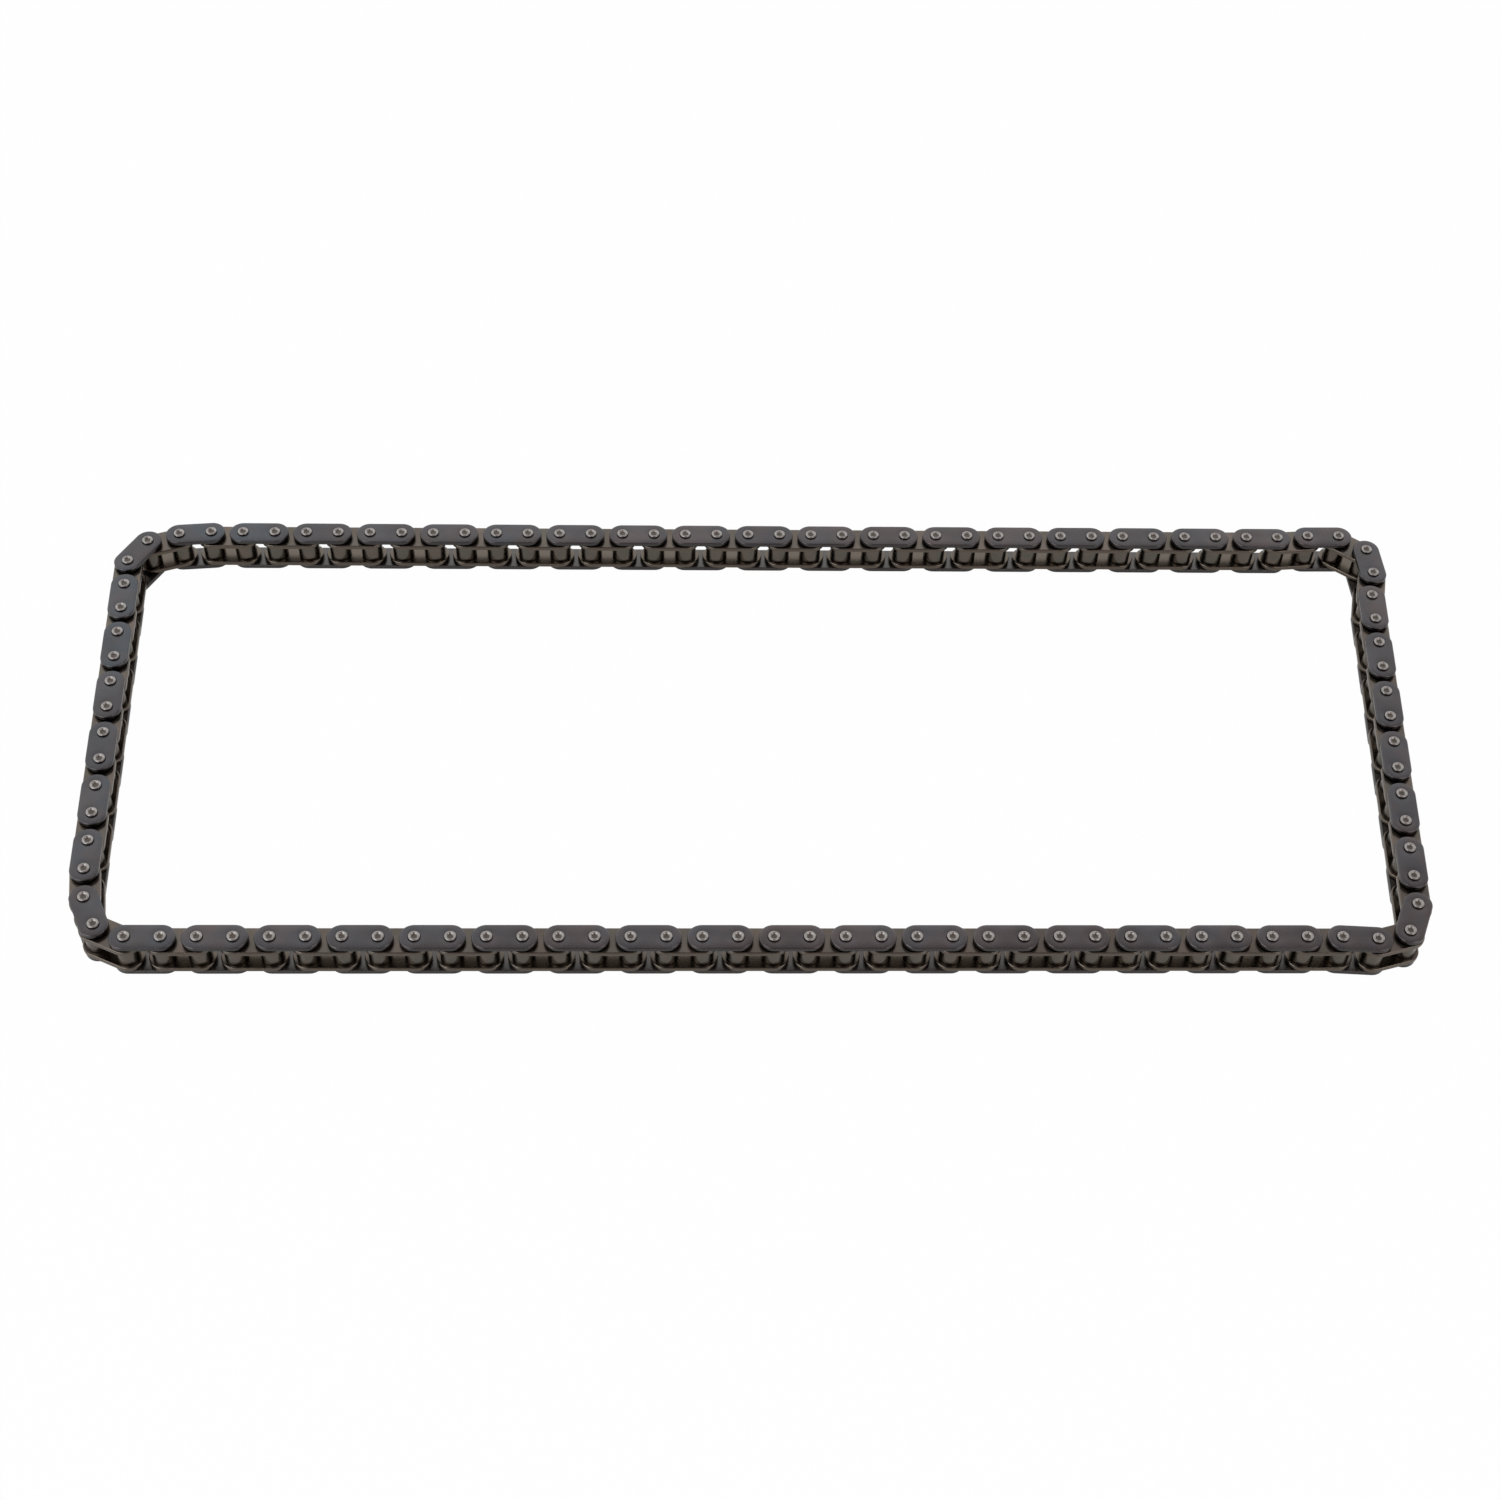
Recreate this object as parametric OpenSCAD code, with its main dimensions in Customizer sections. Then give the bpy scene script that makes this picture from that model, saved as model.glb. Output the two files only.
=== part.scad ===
// Single-row roller timing chain, endless and riveted, lying on its side.
// The pins stand upright. The loop is a long four-cornered one, as a chain laid on a bench takes.
// The origin is under the middle of the loop, on the surface that the lower pin ends stand on.

/* [Link] */
// Distance from one pin to the next
pitch = 9.525; // [9:0.005:12.7]
// Depth of an outer plate across its long sides, which is also the diameter of its round ends
outer_plate_depth = 7.85; // [7.2:0.05:8]
// Distance from a pin's axis to the end of the outer plate
outer_plate_end = 4.05; // [4:0.05:4.35]
// Thickness of an outer plate
outer_plate_t = 1.35; // [0.8:0.05:2.5]
// Depth of an inner plate across its long sides, which is also the diameter of its round ends
inner_plate_depth = 8.25; // [7.2:0.05:8.5]
// Distance from a pin's axis to the end of the inner plate
inner_plate_end = 4.25; // [4.25:0.05:4.35]
// Thickness of an inner plate
inner_plate_t = 1.4; // [0.8:0.05:2.5]
// Width of the chamfer round both faces of every plate
plate_chamfer = 0.2; // [0.05:0.05:0.35]
// Free width between the two inner plates of a link
inner_gap = 5.72; // [3:0.01:12]
// Gap between an inner plate and the outer plate beside it, with the inner link in the middle
side_clear = 0.3; // [0.2:0.01:0.4]
// How far the inner links have slid down their pins as the loop lies on its side
inner_drop = 0.14; // [0:0.01:0.15]

/* [Pin] */
// Diameter of a pin
pin_d = 3.28; // [3:0.01:3.5]
// How far a pin's end stands out of the outer plate
pin_end = 0.58; // [0.3:0.01:2]
// Radius of the rounded rim of a pin's end
pin_rim = 0.35; // [0.1:0.05:0.4]
// Diameter of the dimple that the rivet punch leaves in a pin's end
dimple_d = 2.2; // [1.4:0.05:2.4]
// Depth of that dimple
dimple_depth = 0.4; // [0.1:0.05:0.8]
// Diameter of the dimple's flat floor
dimple_floor_d = 1.2; // [0.4:0.05:1.8]

/* [Bush and roller] */
// Outer diameter of a bush
bush_d = 4.5; // [4:0.01:5]
// Radial gap between a pin and its bush
pin_clear = 0.03; // [0.01:0.01:0.1]
// Radial gap between the pin and the bush where the loop is opened for its motion
open_pin_clear = 0.06; // [0.03:0.01:0.1]
// Outer diameter of a roller
roller_d = 6.35; // [5.8:0.01:7]
// Radial gap between a bush and its roller
roller_clear = 0.05; // [0.01:0.01:0.1]
// Gap between each end of a roller and the inner plate beside it
roller_side_clear = 0.06; // [0.03:0.01:0.3]
// Chamfer on the rims of a roller
roller_chamfer = 0.25; // [0.05:0.05:0.35]

/* [Loop] */
// Links in each of the four stretches that end a long run
end_links = 8; // [2:1:20]
// Links in each of the four stretches that meet in the middle of a long run
mid_links = 9; // [2:1:20]
// Links in the straight part of each short side
side_links = 12; // [6:2:24]
// Headings of the five links round the back right corner
back_right_headings = [4.5, 0.5, -37, -87.5, -102.5]; // [-200:0.5:200]
// Headings of the three links round the front right corner
front_right_headings = [-113, -164, -183.5]; // [-200:0.5:200]
// Headings of the three links round the front left corner
front_left_headings = [154.5, 113.5, 98]; // [-200:0.5:200]
// Headings of the three links round the back left corner
back_left_headings = [59.5, 18.5, 5]; // [-200:0.5:200]

/* [Hidden] */
$fn = 64;
// Overlap of a cut past the face that it opens
cut = 1;
// Angle from one corner to the next round a pin's rim
rim_step = 30;

// Heights in the link, counted from its middle plane
inner_face_z = inner_gap / 2;
outer_face_z = inner_face_z + inner_plate_t + side_clear;
pin_len = 2 * (outer_face_z + outer_plate_t + pin_end);
outer_mid_z = pin_len / 2;
inner_mid_z = outer_mid_z - inner_drop;

// The two short sides take the headings that close the loop, because the long runs cancel
corner_headings = concat(
    back_right_headings,
    front_right_headings,
    front_left_headings,
    back_left_headings
);
corner_sum = total([for (a = corner_headings) unit(a)]);
side_axis = atan2(-corner_sum.y, -corner_sum.x);
side_spread = acos(norm(corner_sum) / (2 * side_links));

// Heading of every link, clockwise from the left end of the back run. Even ones are inner links.
headings = concat(
    repeat(0, 2 * (end_links + mid_links)),
    back_right_headings,
    repeat(side_axis + side_spread, side_links),
    front_right_headings,
    repeat(180, 2 * (end_links + mid_links)),
    front_left_headings,
    repeat(side_axis - side_spread, side_links),
    back_left_headings
);
link_count = len(headings);
raw_pins = [
    for (i = 0, p = [0, 0]; i < link_count; p = p + pitch * unit(headings[i]), i = i + 1) p
];
pin_x = [for (p = raw_pins) p.x];
pin_y = [for (p = raw_pins) p.y];
loop_centre = [min(pin_x) + max(pin_x), min(pin_y) + max(pin_y)] / 2;
pin_at = [for (p = raw_pins) p - loop_centre];

// Stretches of the loop that stay rigid, clockwise, each with its number of links
STRETCHES = [
    ["back_run_1", end_links],
    ["back_run_2", mid_links],
    ["back_run_3", mid_links],
    ["back_run_4", end_links],
    ["right_end", len(back_right_headings) + side_links + len(front_right_headings)],
    ["front_run_4", end_links],
    ["front_run_3", mid_links],
    ["front_run_2", mid_links],
    ["front_run_1", end_links],
    ["left_end", len(front_left_headings) + side_links + len(back_left_headings)]
];
stretch_count = len(STRETCHES);
// First link of each stretch, which is also the number of the pin that it turns on
first_link = [
    for (s = 0, n = 0; s < stretch_count; n = n + STRETCHES[s][1], s = s + 1) n
];
// The loop is opened at the pin between the right end and the front run
open_pin = first_link[5];

KINDS = ["outer_plates", "inner_plates", "pins", "bushes", "rollers"];

function unit(a) = [cos(a), sin(a)];
function total(v, i = 0) = i == len(v) - 1 ? v[i] : v[i] + total(v, i + 1);
function repeat(value, n) = [for (i = [1 : n]) value];
function wrap(i) = (i + link_count) % link_count;
function is_inner(link) = link % 2 == 0;
function links_of(s, inner) = [
    for (i = [first_link[s] : first_link[s] + STRETCHES[s][1] - 1]) if (is_inner(i) == inner) i
];
// Numbers of the two pins of each inner or outer link in a stretch
function ends_of(s, inner) = [for (i = links_of(s, inner)) for (j = [i, i + 1]) wrap(j)];
function is_pivot(pin) = len([for (f = first_link) if (f == pin) f]) > 0;

// A solid disc with both rims chamfered, standing on its middle plane
module rimmed_disc(d, t, chamfer) {
    rotate_extrude()
        polygon([
            [0, -t / 2],
            [d / 2 - chamfer, -t / 2],
            [d / 2, -t / 2 + chamfer],
            [d / 2, t / 2 - chamfer],
            [d / 2 - chamfer, t / 2],
            [0, t / 2]
        ]);
}

// The straight middle of a plate, with the same section as its round ends
module rimmed_bar(length, d, t, chamfer) {
    rotate([90, 0, 90])
        linear_extrude(length)
            polygon([
                [-d / 2, -t / 2 + chamfer],
                [-d / 2 + chamfer, -t / 2],
                [d / 2 - chamfer, -t / 2],
                [d / 2, -t / 2 + chamfer],
                [d / 2, t / 2 - chamfer],
                [d / 2 - chamfer, t / 2],
                [-d / 2 + chamfer, t / 2],
                [-d / 2, t / 2 - chamfer]
            ]);
}

// A link plate from the pin at the origin to the next one along X. Its round ends are struck from
// points a little beyond the pins, so that the plate ends at the given distance from them.
module plate(depth, end, t, hole_d) {
    beyond = end - depth / 2;
    difference() {
        union() {
            translate([-beyond, 0, 0])
                rimmed_bar(pitch + 2 * beyond, depth, t, plate_chamfer);
            for (x = [-beyond, pitch + beyond])
                translate([x, 0, 0])
                    rimmed_disc(depth, t, plate_chamfer);
        }
        for (x = [0, pitch])
            translate([x, 0, -t / 2 - cut])
                cylinder(d = hole_d, h = t + 2 * cut);
    }
}

module plate_pair(depth, end, t, hole_d, inside_z) {
    for (side = [-1, 1])
        translate([0, 0, side * (inside_z + t / 2)])
            plate(depth, end, t, hole_d);
}

// Puts a link's own shape between its two pins, with its middle plane at a height
module at_link(i, z) {
    translate([pin_at[i].x, pin_at[i].y, z])
        rotate([0, 0, headings[i]])
            children();
}

module at_pin(i, z) {
    translate([pin_at[i].x, pin_at[i].y, z])
        children();
}

// Half of a pin's section: the rounded rim and the punched dimple at its end
function pin_end_section() = [
    for (a = [0 : rim_step : 90]) [
        pin_d / 2 - pin_rim * (1 - cos(a)),
        pin_len / 2 - pin_rim * (1 - sin(a))
    ],
    [dimple_d / 2, pin_len / 2],
    [dimple_floor_d / 2, pin_len / 2 - dimple_depth],
    [0, pin_len / 2 - dimple_depth]
];

// A pin with rounded, punched ends
module pin() {
    top = pin_end_section();
    rotate_extrude()
        polygon(concat(top, [for (k = [len(top) - 1 : -1 : 0]) [top[k].x, -top[k].y]]));
}

// A bush, flush with the outer faces of the two inner plates that it is pressed into
module bush(clear) {
    length = inner_gap + 2 * inner_plate_t;
    difference() {
        cylinder(d = bush_d, h = length, center = true);
        cylinder(d = pin_d + 2 * clear, h = length + 2 * cut, center = true);
    }
}

module roller() {
    length = inner_gap - 2 * roller_side_clear;
    difference() {
        rimmed_disc(roller_d, length, roller_chamfer);
        cylinder(d = bush_d + 2 * roller_clear, h = length + 2 * cut, center = true);
    }
}

module outer_plates(s) {
    color([0.29, 0.29, 0.32])
        for (i = links_of(s, false))
            at_link(i, outer_mid_z)
                plate_pair(outer_plate_depth, outer_plate_end, outer_plate_t, pin_d, outer_face_z);
}

module inner_plates(s) {
    color([0.33, 0.30, 0.27])
        for (i = links_of(s, true))
            at_link(i, inner_mid_z)
                plate_pair(inner_plate_depth, inner_plate_end, inner_plate_t, bush_d, inner_face_z);
}

module pins(s) {
    color([0.62, 0.60, 0.58])
        for (i = ends_of(s, false))
            at_pin(i, outer_mid_z)
                pin();
}

module bushes(s) {
    color([0.45, 0.43, 0.41])
        for (i = ends_of(s, true))
            at_pin(i, inner_mid_z)
                bush(i == open_pin ? open_pin_clear : pin_clear);
}

// The rollers of a stretch, apart from those at the pins that it turns on
module rollers(s) {
    color([0.42, 0.38, 0.35])
        for (i = ends_of(s, true))
            if (!is_pivot(i))
                at_pin(i, inner_mid_z)
                    roller();
}

// The free roller at the pin where stretch k begins
module pivot_roller(k) {
    color([0.42, 0.38, 0.35])
        at_pin(first_link[k - 1], inner_mid_z)
            roller();
}

for (s = [0 : stretch_count - 1]) {
    name = STRETCHES[s][0];
    outer_plates(s);
    inner_plates(s);
    pins(s);
    bushes(s);
    rollers(s);
}
for (k = [1 : stretch_count])
    pivot_roller(k);
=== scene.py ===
"""Looks of a riveted single-row timing chain lying on its side: steel finishes, studio and camera.

All lengths are in metres, in the frame of the CAD model, with +Z up.
"""

from math import cos, radians, sin

import bpy
from mathutils import Matrix, Vector


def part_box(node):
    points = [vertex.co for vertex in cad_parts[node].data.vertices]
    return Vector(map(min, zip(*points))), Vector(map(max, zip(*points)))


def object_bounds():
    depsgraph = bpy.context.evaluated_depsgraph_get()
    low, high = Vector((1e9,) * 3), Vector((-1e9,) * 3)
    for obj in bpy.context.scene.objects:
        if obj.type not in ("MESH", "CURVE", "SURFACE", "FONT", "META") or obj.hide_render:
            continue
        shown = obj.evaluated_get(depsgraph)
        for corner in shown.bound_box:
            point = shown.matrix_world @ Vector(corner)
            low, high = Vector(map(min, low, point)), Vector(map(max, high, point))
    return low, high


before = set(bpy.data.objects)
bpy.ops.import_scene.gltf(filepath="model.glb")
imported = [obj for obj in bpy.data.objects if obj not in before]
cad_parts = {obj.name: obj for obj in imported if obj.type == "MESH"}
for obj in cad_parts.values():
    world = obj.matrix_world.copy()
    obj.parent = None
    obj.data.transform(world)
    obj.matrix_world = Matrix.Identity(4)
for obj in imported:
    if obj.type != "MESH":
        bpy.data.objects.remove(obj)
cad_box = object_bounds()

# Camera, worked out from the pin ends that the photograph shows at equal pitches: the lens and
# sensor in millimetres, the angles in degrees
LENS = 59.165
SENSOR = 36.0
ELEVATION = 50.632
AZIMUTH = 3.035
ROLL = 2.502
DISTANCE = 0.69429
AIM_X = -0.002934
AIM_Y = -0.010815

# Studio: a white floor, a room that is white low down and greyer overhead, and two softboxes.
# The glow is the share of plain white in the floor, as the camera and as the metal see it
FLOOR_SIZE = 6.0
FLOOR_SHADE = (0.90, 0.90, 0.90, 1)
GLOW_SEEN = 0.985
GLOW_MIRRORED = 0.55
ROOM_POLE = (0.20, -0.45, 0.87)
ROOM_FADE = (0.27, 0.70)
ROOM_WHITE = (1.0, 1.0, 1.0, 1)
ROOM_GREY = (0.236, 0.182, 0.192, 1)
SOFTBOX_SIDE = 0.8
SOFTBOXES = {
    "left": {"place": (-0.80, -0.60, 0.86), "power": 4.5, "colour": (0.94, 0.97, 1.0)},
    "right": {"place": (0.80, -0.60, 0.86), "power": 3.0, "colour": (1.0, 0.98, 0.96)},
}

# Where one part of a surface turns into the next: from 0, upright, to 1, level
PLATE_FACE = (0.35, 0.85)
PLATE_CROWN = (0.90, 0.98)
PIN_END = (0.05, 0.40)

# Inward faces have a height above the middle plane, times how far they face up, below this
INWARD_BELOW = -0.0015

# Depths below the riveted end of a pin between which its bright rim turns into scale
SCALE_DEPTHS = (0.00005, 0.00036)

# Shape of the surface in shading
EDGE_ROUND = 0.0004
CROWN_REACH = 0.0040
CROWN_SHARE = 0.14
BEVEL_SAMPLES = 6
GRAIN_DEPTH = 0.00002
GRAIN_STRENGTH = 0.4

# Noise: what part of its range is used, and the scale of each pattern, finer at a higher number
GRAIN_RANGE = (0.25, 0.75)
WEAR_RANGE = (0.35, 0.65)
PATCH_RANGE = (0.38, 0.62)
LINK_SCALE = 62
OUTER_GRAIN = 5200
INNER_PATCHES = 150
INNER_GRAIN = 4600
ROLLER_PATCHES = 260
ROLLER_RINGS = 2400
RING_STRETCH = (0.15, 0.15, 4.0)
PIN_GRAIN = 3800

# What warms the outer plates: patches of two scales, and the way from the back left corner
FINE_PATCHES = (160, 0.35)
BROAD_PATCHES = (42, 0.40)
CORNER_SLANT = 0.8
CORNER_RANGE = (-0.24, -0.02)
CORNER_WARMTH = (0.0, 0.30)

# Most that a link leans to the deeper colour of its kind
OUTER_LEAN = 0.45
INNER_LEAN = 0.7

# Roughness from the lowest to the highest grain
OUTER_ROUGHNESS = (0.22, 0.34)
INNER_ROUGHNESS = (0.18, 0.28)
ROLLER_ROUGHNESS = (0.16, 0.28)
PIN_ROUGHNESS = (0.27, 0.40)

# Steel colours, as linear values
OUTER_WARM = (0.151, 0.130, 0.129, 1)
OUTER_COOL = (0.110, 0.123, 0.138, 1)
OUTER_DEEP = (0.090, 0.085, 0.086, 1)
# Cut sides of the outer plates: their own dark finish, darkened further as a painted shade
OUTER_SIDE_DARK_AND_SHADE = (0.060, 0.057, 0.055, 1)
# Faces of the outer plates that look towards the middle plane: lighter, a painted light
OUTER_INSIDE_LIGHT = (0.152, 0.146, 0.140, 1)
INNER_BROWN = (0.202, 0.167, 0.144, 1)
INNER_OLIVE = (0.163, 0.151, 0.129, 1)
INNER_DEEP = (0.138, 0.118, 0.102, 1)
# Cut sides of the inner plates: darker, a painted shade
INNER_SIDE_SHADE = (0.112, 0.094, 0.074, 1)
# Faces of the inner plates beside the rollers: lighter, a painted light
INNER_INSIDE_LIGHT = (0.176, 0.152, 0.127, 1)
ROLLER_WARM = (0.127, 0.106, 0.088, 1)
ROLLER_COOL = (0.107, 0.100, 0.084, 1)
PIN_BRIGHT = (0.470, 0.450, 0.430, 1)
PIN_WORN = (0.380, 0.365, 0.350, 1)
PIN_SCALE = (0.137, 0.122, 0.106, 1)
# Upright side of each pin end: near black, a painted shade
PIN_SIDE_SHADE = (0.050, 0.046, 0.042, 1)

# Sockets of the Mix node for each type of data: the two inputs and the output
MIX_SOCKETS = {"RGBA": (6, 7, 2), "VECTOR": (4, 5, 1)}


class Tree:
    """Adds and links the nodes of one material or world."""

    def __init__(self, owner):
        owner.use_nodes = True
        self.tree = owner.node_tree
        self.tree.nodes.clear()

    def add(self, kind, inputs=None, **settings):
        """Adds a node. An input is set to its value, or linked where that is an output."""
        made = self.tree.nodes.new(kind)
        for name, value in settings.items():
            setattr(made, name, value)
        for name, value in (inputs or {}).items():
            if isinstance(value, bpy.types.NodeSocket):
                self.tree.links.new(value, made.inputs[name])
            else:
                made.inputs[name].default_value = value
        return made

    def math(self, operation, first, second=0.0):
        return self.add("ShaderNodeMath", {0: first, 1: second}, operation=operation).outputs[0]

    def vector(self, operation, first, second=(0.0, 0.0, 0.0)):
        made = self.add("ShaderNodeVectorMath", {0: first, 1: second}, operation=operation)
        return made.outputs

    def mix(self, share, first, second, kind="RGBA"):
        """Mixes two colours, or two directions where the kind is VECTOR."""
        one, two, result = MIX_SOCKETS[kind]
        made = self.add("ShaderNodeMix", {0: share, one: first, two: second}, data_type=kind)
        return made.outputs[result]

    def span(self, value, source, target=(0.0, 1.0)):
        """Maps one range smoothly onto another."""
        inputs = {
            "Value": value,
            "From Min": source[0],
            "From Max": source[1],
            "To Min": target[0],
            "To Max": target[1],
        }
        made = self.add("ShaderNodeMapRange", inputs, interpolation_type="SMOOTHSTEP")
        return made.outputs["Result"]

    def noise(self, place, scale, detail=2.0):
        made = self.add("ShaderNodeTexNoise", {"Vector": place, "Scale": scale, "Detail": detail})
        return made.outputs["Fac"]


class Steel(Tree):
    """A metal finish, with what its colours are worked out from."""

    def __init__(self, name):
        self.material = bpy.data.materials.new(name)
        super().__init__(self.material)
        self.place = self.add("ShaderNodeTexCoord").outputs["Object"]
        axes = self.add("ShaderNodeSeparateXYZ", {0: self.place}).outputs
        self.along, self.across, self.height = axes["X"], axes["Y"], axes["Z"]
        normal = self.add("ShaderNodeNewGeometry").outputs["Normal"]
        self.up = self.add("ShaderNodeSeparateXYZ", {0: normal}).outputs["Z"]

    def level(self, turn, most=1.0):
        """0 on upright sides, rising over the turn to the most on level faces."""
        return self.span(self.math("ABSOLUTE", self.up), turn, (0.0, most))

    def inward(self, middle):
        """1 on the faces that look towards the middle plane of the chain."""
        above = self.math("SUBTRACT", self.height, middle)
        return self.math("LESS_THAN", self.math("MULTIPLY", above, self.up), INWARD_BELOW)

    def blotches(self, scale, most=1.0):
        """Uneven patches from 0 to the most."""
        return self.span(self.noise(self.place, scale), PATCH_RANGE, (0.0, most))

    def batches(self, usual, deep, most):
        """Lets each link lean from the usual colour to a deeper one, up to a share of it."""
        return self.mix(self.blotches(LINK_SCALE, most), usual, deep)

    def rounded(self, reach):
        """The surface direction with edges rounded off over a reach."""
        return self.add("ShaderNodeBevel", {"Radius": reach}, samples=BEVEL_SAMPLES).outputs[0]

    def crowned(self, inward):
        """Rounded edges, and outer faces that fall off a little towards them."""
        outward = self.math("SUBTRACT", 1.0, inward)
        share = self.math("MULTIPLY", self.level(PLATE_CROWN, CROWN_SHARE), outward)
        edges, crown = self.rounded(EDGE_ROUND), self.rounded(CROWN_REACH)
        return self.vector("NORMALIZE", self.mix(share, edges, crown, "VECTOR"))[0]

    def finish(self, colour, grain, roughness, shape=None):
        """Puts the shader together, with its edges rounded and a fine grain on it."""
        bump = {
            "Height": grain,
            "Distance": GRAIN_DEPTH,
            "Strength": GRAIN_STRENGTH,
            "Normal": shape or self.rounded(EDGE_ROUND),
        }
        shader = {
            "Base Color": colour,
            "Metallic": 1.0,
            "Roughness": self.span(grain, GRAIN_RANGE, roughness),
            "Normal": self.add("ShaderNodeBump", bump).outputs["Normal"],
        }
        surface = self.add("ShaderNodeBsdfPrincipled", shader)
        self.add("ShaderNodeOutputMaterial", {"Surface": surface.outputs["BSDF"]})
        return self.material


def outer_plate_steel(middle):
    """Tempered dark steel, cooler at the back left of the loop, near black on the cut sides partly
    as painted shade, with painted light on the inward faces.
    """
    steel = Steel("outer_plate_steel")
    patches = steel.math("ADD", steel.blotches(*FINE_PATCHES), steel.blotches(*BROAD_PATCHES))
    back = steel.math("MULTIPLY", steel.across, CORNER_SLANT)
    corner = steel.math("SUBTRACT", steel.along, back)
    warmth = steel.math("ADD", patches, steel.span(corner, CORNER_RANGE, CORNER_WARMTH))
    faces = steel.batches(steel.mix(warmth, OUTER_COOL, OUTER_WARM), OUTER_DEEP, OUTER_LEAN)
    inward = steel.inward(middle)
    # Painted light: the faces towards the middle plane are made lighter
    faces = steel.mix(inward, faces, OUTER_INSIDE_LIGHT)
    # Painted shade: the upright cut sides are made near black
    colour = steel.mix(steel.level(PLATE_FACE), OUTER_SIDE_DARK_AND_SHADE, faces)
    grain = steel.noise(steel.place, OUTER_GRAIN)
    return steel.finish(colour, grain, OUTER_ROUGHNESS, steel.crowned(inward))


def inner_plate_steel(middle):
    """Bronze brown steel of the inner plates, with painted light on the faces beside the rollers
    and painted shade on the cut sides.
    """
    steel = Steel("inner_plate_steel")
    faces = steel.mix(steel.blotches(INNER_PATCHES), INNER_BROWN, INNER_OLIVE)
    faces = steel.batches(faces, INNER_DEEP, INNER_LEAN)
    # Painted light: the faces beside the rollers are made lighter
    faces = steel.mix(steel.inward(middle), faces, INNER_INSIDE_LIGHT)
    # Painted shade: the upright cut sides are made darker
    colour = steel.mix(steel.level(PLATE_FACE), INNER_SIDE_SHADE, faces)
    return steel.finish(colour, steel.noise(steel.place, INNER_GRAIN), INNER_ROUGHNESS)


def roller_steel():
    """Satin steel with fine marks round the barrel."""
    steel = Steel("roller_steel")
    colour = steel.mix(steel.blotches(ROLLER_PATCHES), ROLLER_WARM, ROLLER_COOL)
    rings = steel.noise(steel.vector("MULTIPLY", steel.place, RING_STRETCH)[0], ROLLER_RINGS)
    return steel.finish(colour, rings, ROLLER_ROUGHNESS)


def pin_steel(middle, top):
    """Bright steel on the rim of each riveted end, with dark scale left in the dimple and below,
    and painted shade on the upright side.
    """
    steel = Steel("pin_steel")
    grain = steel.noise(steel.place, PIN_GRAIN, detail=3.0)
    rim = steel.mix(steel.span(grain, WEAR_RANGE), PIN_BRIGHT, PIN_WORN)
    reach = steel.math("ABSOLUTE", steel.math("SUBTRACT", steel.height, middle))
    depth = steel.math("SUBTRACT", top - middle, reach)
    colour = steel.mix(steel.span(depth, SCALE_DEPTHS), rim, PIN_SCALE)
    # Painted shade: the upright side of the pin end is made near black
    colour = steel.mix(steel.level(PIN_END), PIN_SIDE_SHADE, colour)
    return steel.finish(colour, grain, PIN_ROUGHNESS)


def dress():
    """Gives every CAD node the finish of its kind."""
    low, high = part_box("left_end_pins")
    middle = (low.z + high.z) / 2
    finishes = {
        "outer_plates": outer_plate_steel(middle),
        "inner_plates": inner_plate_steel(middle),
        "pins": pin_steel(middle, high.z),
        "roller": roller_steel(),
    }
    finishes["bushes"] = finishes["roller"]
    for name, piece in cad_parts.items():
        kind = next(word for word in finishes if word in name)
        piece.data.materials.clear()
        piece.data.materials.append(finishes[kind])


def add_object(name, data):
    """Puts a new object into the scene."""
    made = bpy.data.objects.new(name, data)
    bpy.context.scene.collection.objects.link(made)
    return made


def build_floor():
    """A matt floor that shows white to the camera, and partly white in the metal."""
    half = FLOOR_SIZE / 2
    corners = [(-half, -half, 0), (half, -half, 0), (half, half, 0), (-half, half, 0)]
    mesh = bpy.data.meshes.new("floor")
    mesh.from_pydata(corners, [], [(0, 1, 2, 3)])
    floor = add_object("floor", mesh)
    material = bpy.data.materials.new("floor_white")
    tree = Tree(material)
    matte = tree.add("ShaderNodeBsdfDiffuse", {"Color": FLOOR_SHADE})
    glow = tree.add("ShaderNodeEmission", {"Strength": 1.0})
    ray = tree.add("ShaderNodeLightPath").outputs
    mirrored = tree.math("MAXIMUM", ray["Is Glossy Ray"], ray["Is Transmission Ray"])
    mirrored = tree.math("MULTIPLY", mirrored, GLOW_MIRRORED)
    seen = tree.math("MULTIPLY", ray["Is Camera Ray"], GLOW_SEEN)
    share = tree.math("MAXIMUM", seen, mirrored)
    both = tree.add("ShaderNodeMixShader", {0: share, 1: matte.outputs[0], 2: glow.outputs[0]})
    tree.add("ShaderNodeOutputMaterial", {"Surface": both.outputs[0]})
    mesh.materials.append(material)


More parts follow.
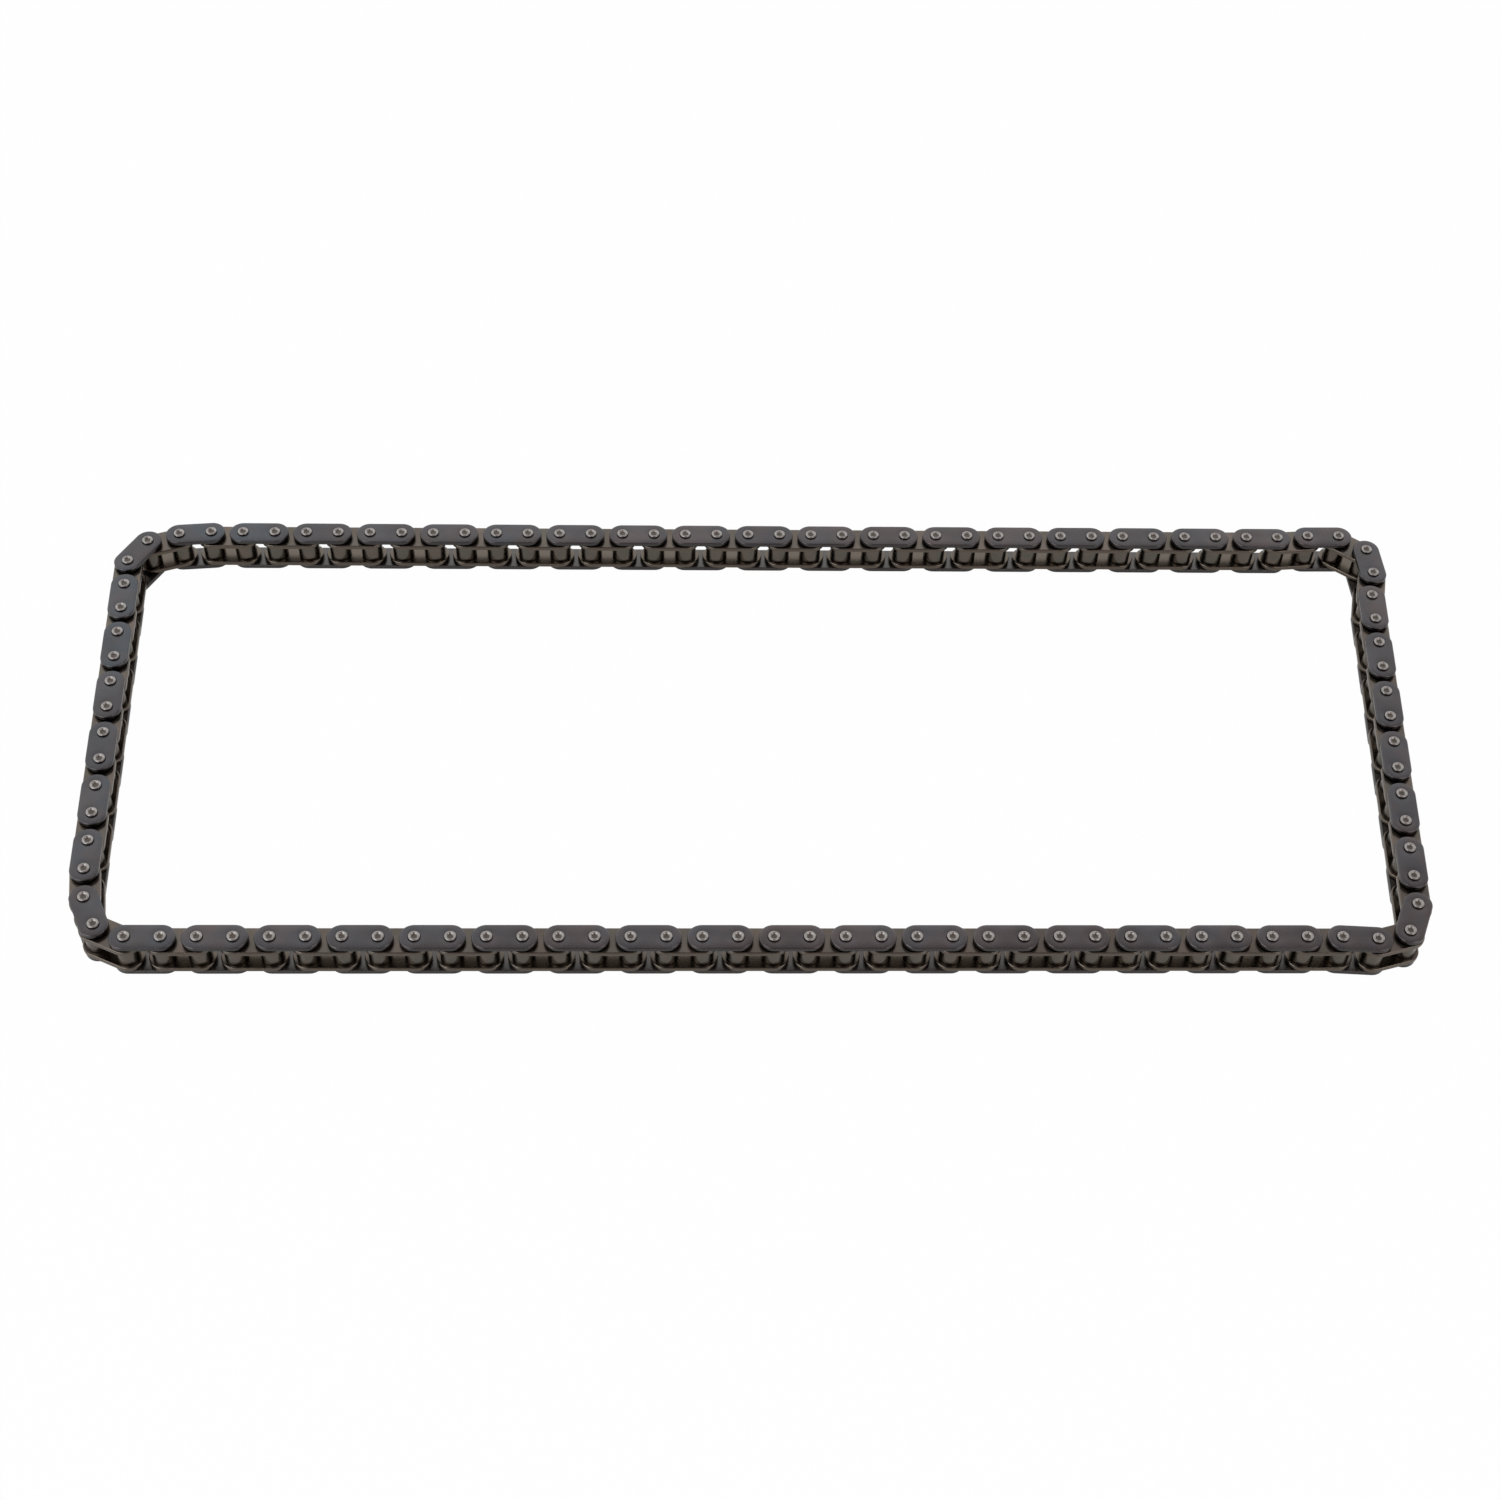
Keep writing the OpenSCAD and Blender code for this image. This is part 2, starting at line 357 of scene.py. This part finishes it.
def build_room():
    """A room that the metal sees as white round the horizon and greyer towards the pole."""
    world = bpy.data.worlds.new("room")
    bpy.context.scene.world = world
    tree = Tree(world)
    direction = tree.add("ShaderNodeTexCoord").outputs["Generated"]
    pole = tuple(Vector(ROOM_POLE).normalized())
    fade = tree.span(tree.vector("DOT_PRODUCT", direction, pole)["Value"], ROOM_FADE)
    unseen = tree.math("SUBTRACT", 1.0, tree.add("ShaderNodeLightPath").outputs["Is Camera Ray"])
    fade = tree.math("MULTIPLY", fade, unseen)
    light = tree.add("ShaderNodeBackground", {"Color": tree.mix(fade, ROOM_WHITE, ROOM_GREY)})
    tree.add("ShaderNodeOutputWorld", {"Surface": light.outputs[0]})


def build_softboxes():
    """Two square lamps in front, aimed at the middle of the loop."""
    for name, box in SOFTBOXES.items():
        data = bpy.data.lights.new("softbox_" + name, "AREA")
        data.shape = "SQUARE"
        data.size = SOFTBOX_SIDE
        data.energy = box["power"]
        data.color = box["colour"]
        lamp = add_object(data.name, data)
        lamp.location = box["place"]
        lamp.rotation_euler = (-Vector(box["place"])).to_track_quat("-Z", "Y").to_euler()


def build_camera():
    """A camera turned from +Y towards +X by the azimuth, then tilted down and rolled."""
    el, az, roll = radians(ELEVATION), radians(AZIMUTH), radians(ROLL)
    forward = Vector((cos(el) * sin(az), cos(el) * cos(az), -sin(el)))
    level = Vector((cos(az), -sin(az), 0))
    rise = Vector((sin(el) * sin(az), sin(el) * cos(az), cos(el)))
    right = cos(roll) * level + sin(roll) * rise
    up = cos(roll) * rise - sin(roll) * level
    pin_tops = cad_box[1].z
    data = bpy.data.cameras.new("camera")
    data.lens = LENS
    data.sensor_width = SENSOR
    data.sensor_fit = "HORIZONTAL"
    camera = add_object("camera", data)
    turned = Matrix((right, up, -forward)).transposed().to_4x4()
    place = Vector((AIM_X, AIM_Y, pin_tops)) - forward * DISTANCE
    camera.matrix_world = Matrix.Translation(place) @ turned
    bpy.context.scene.camera = camera


build_camera()
build_floor()
build_room()
build_softboxes()
dress()
bpy.context.scene.view_settings.view_transform = "Standard"
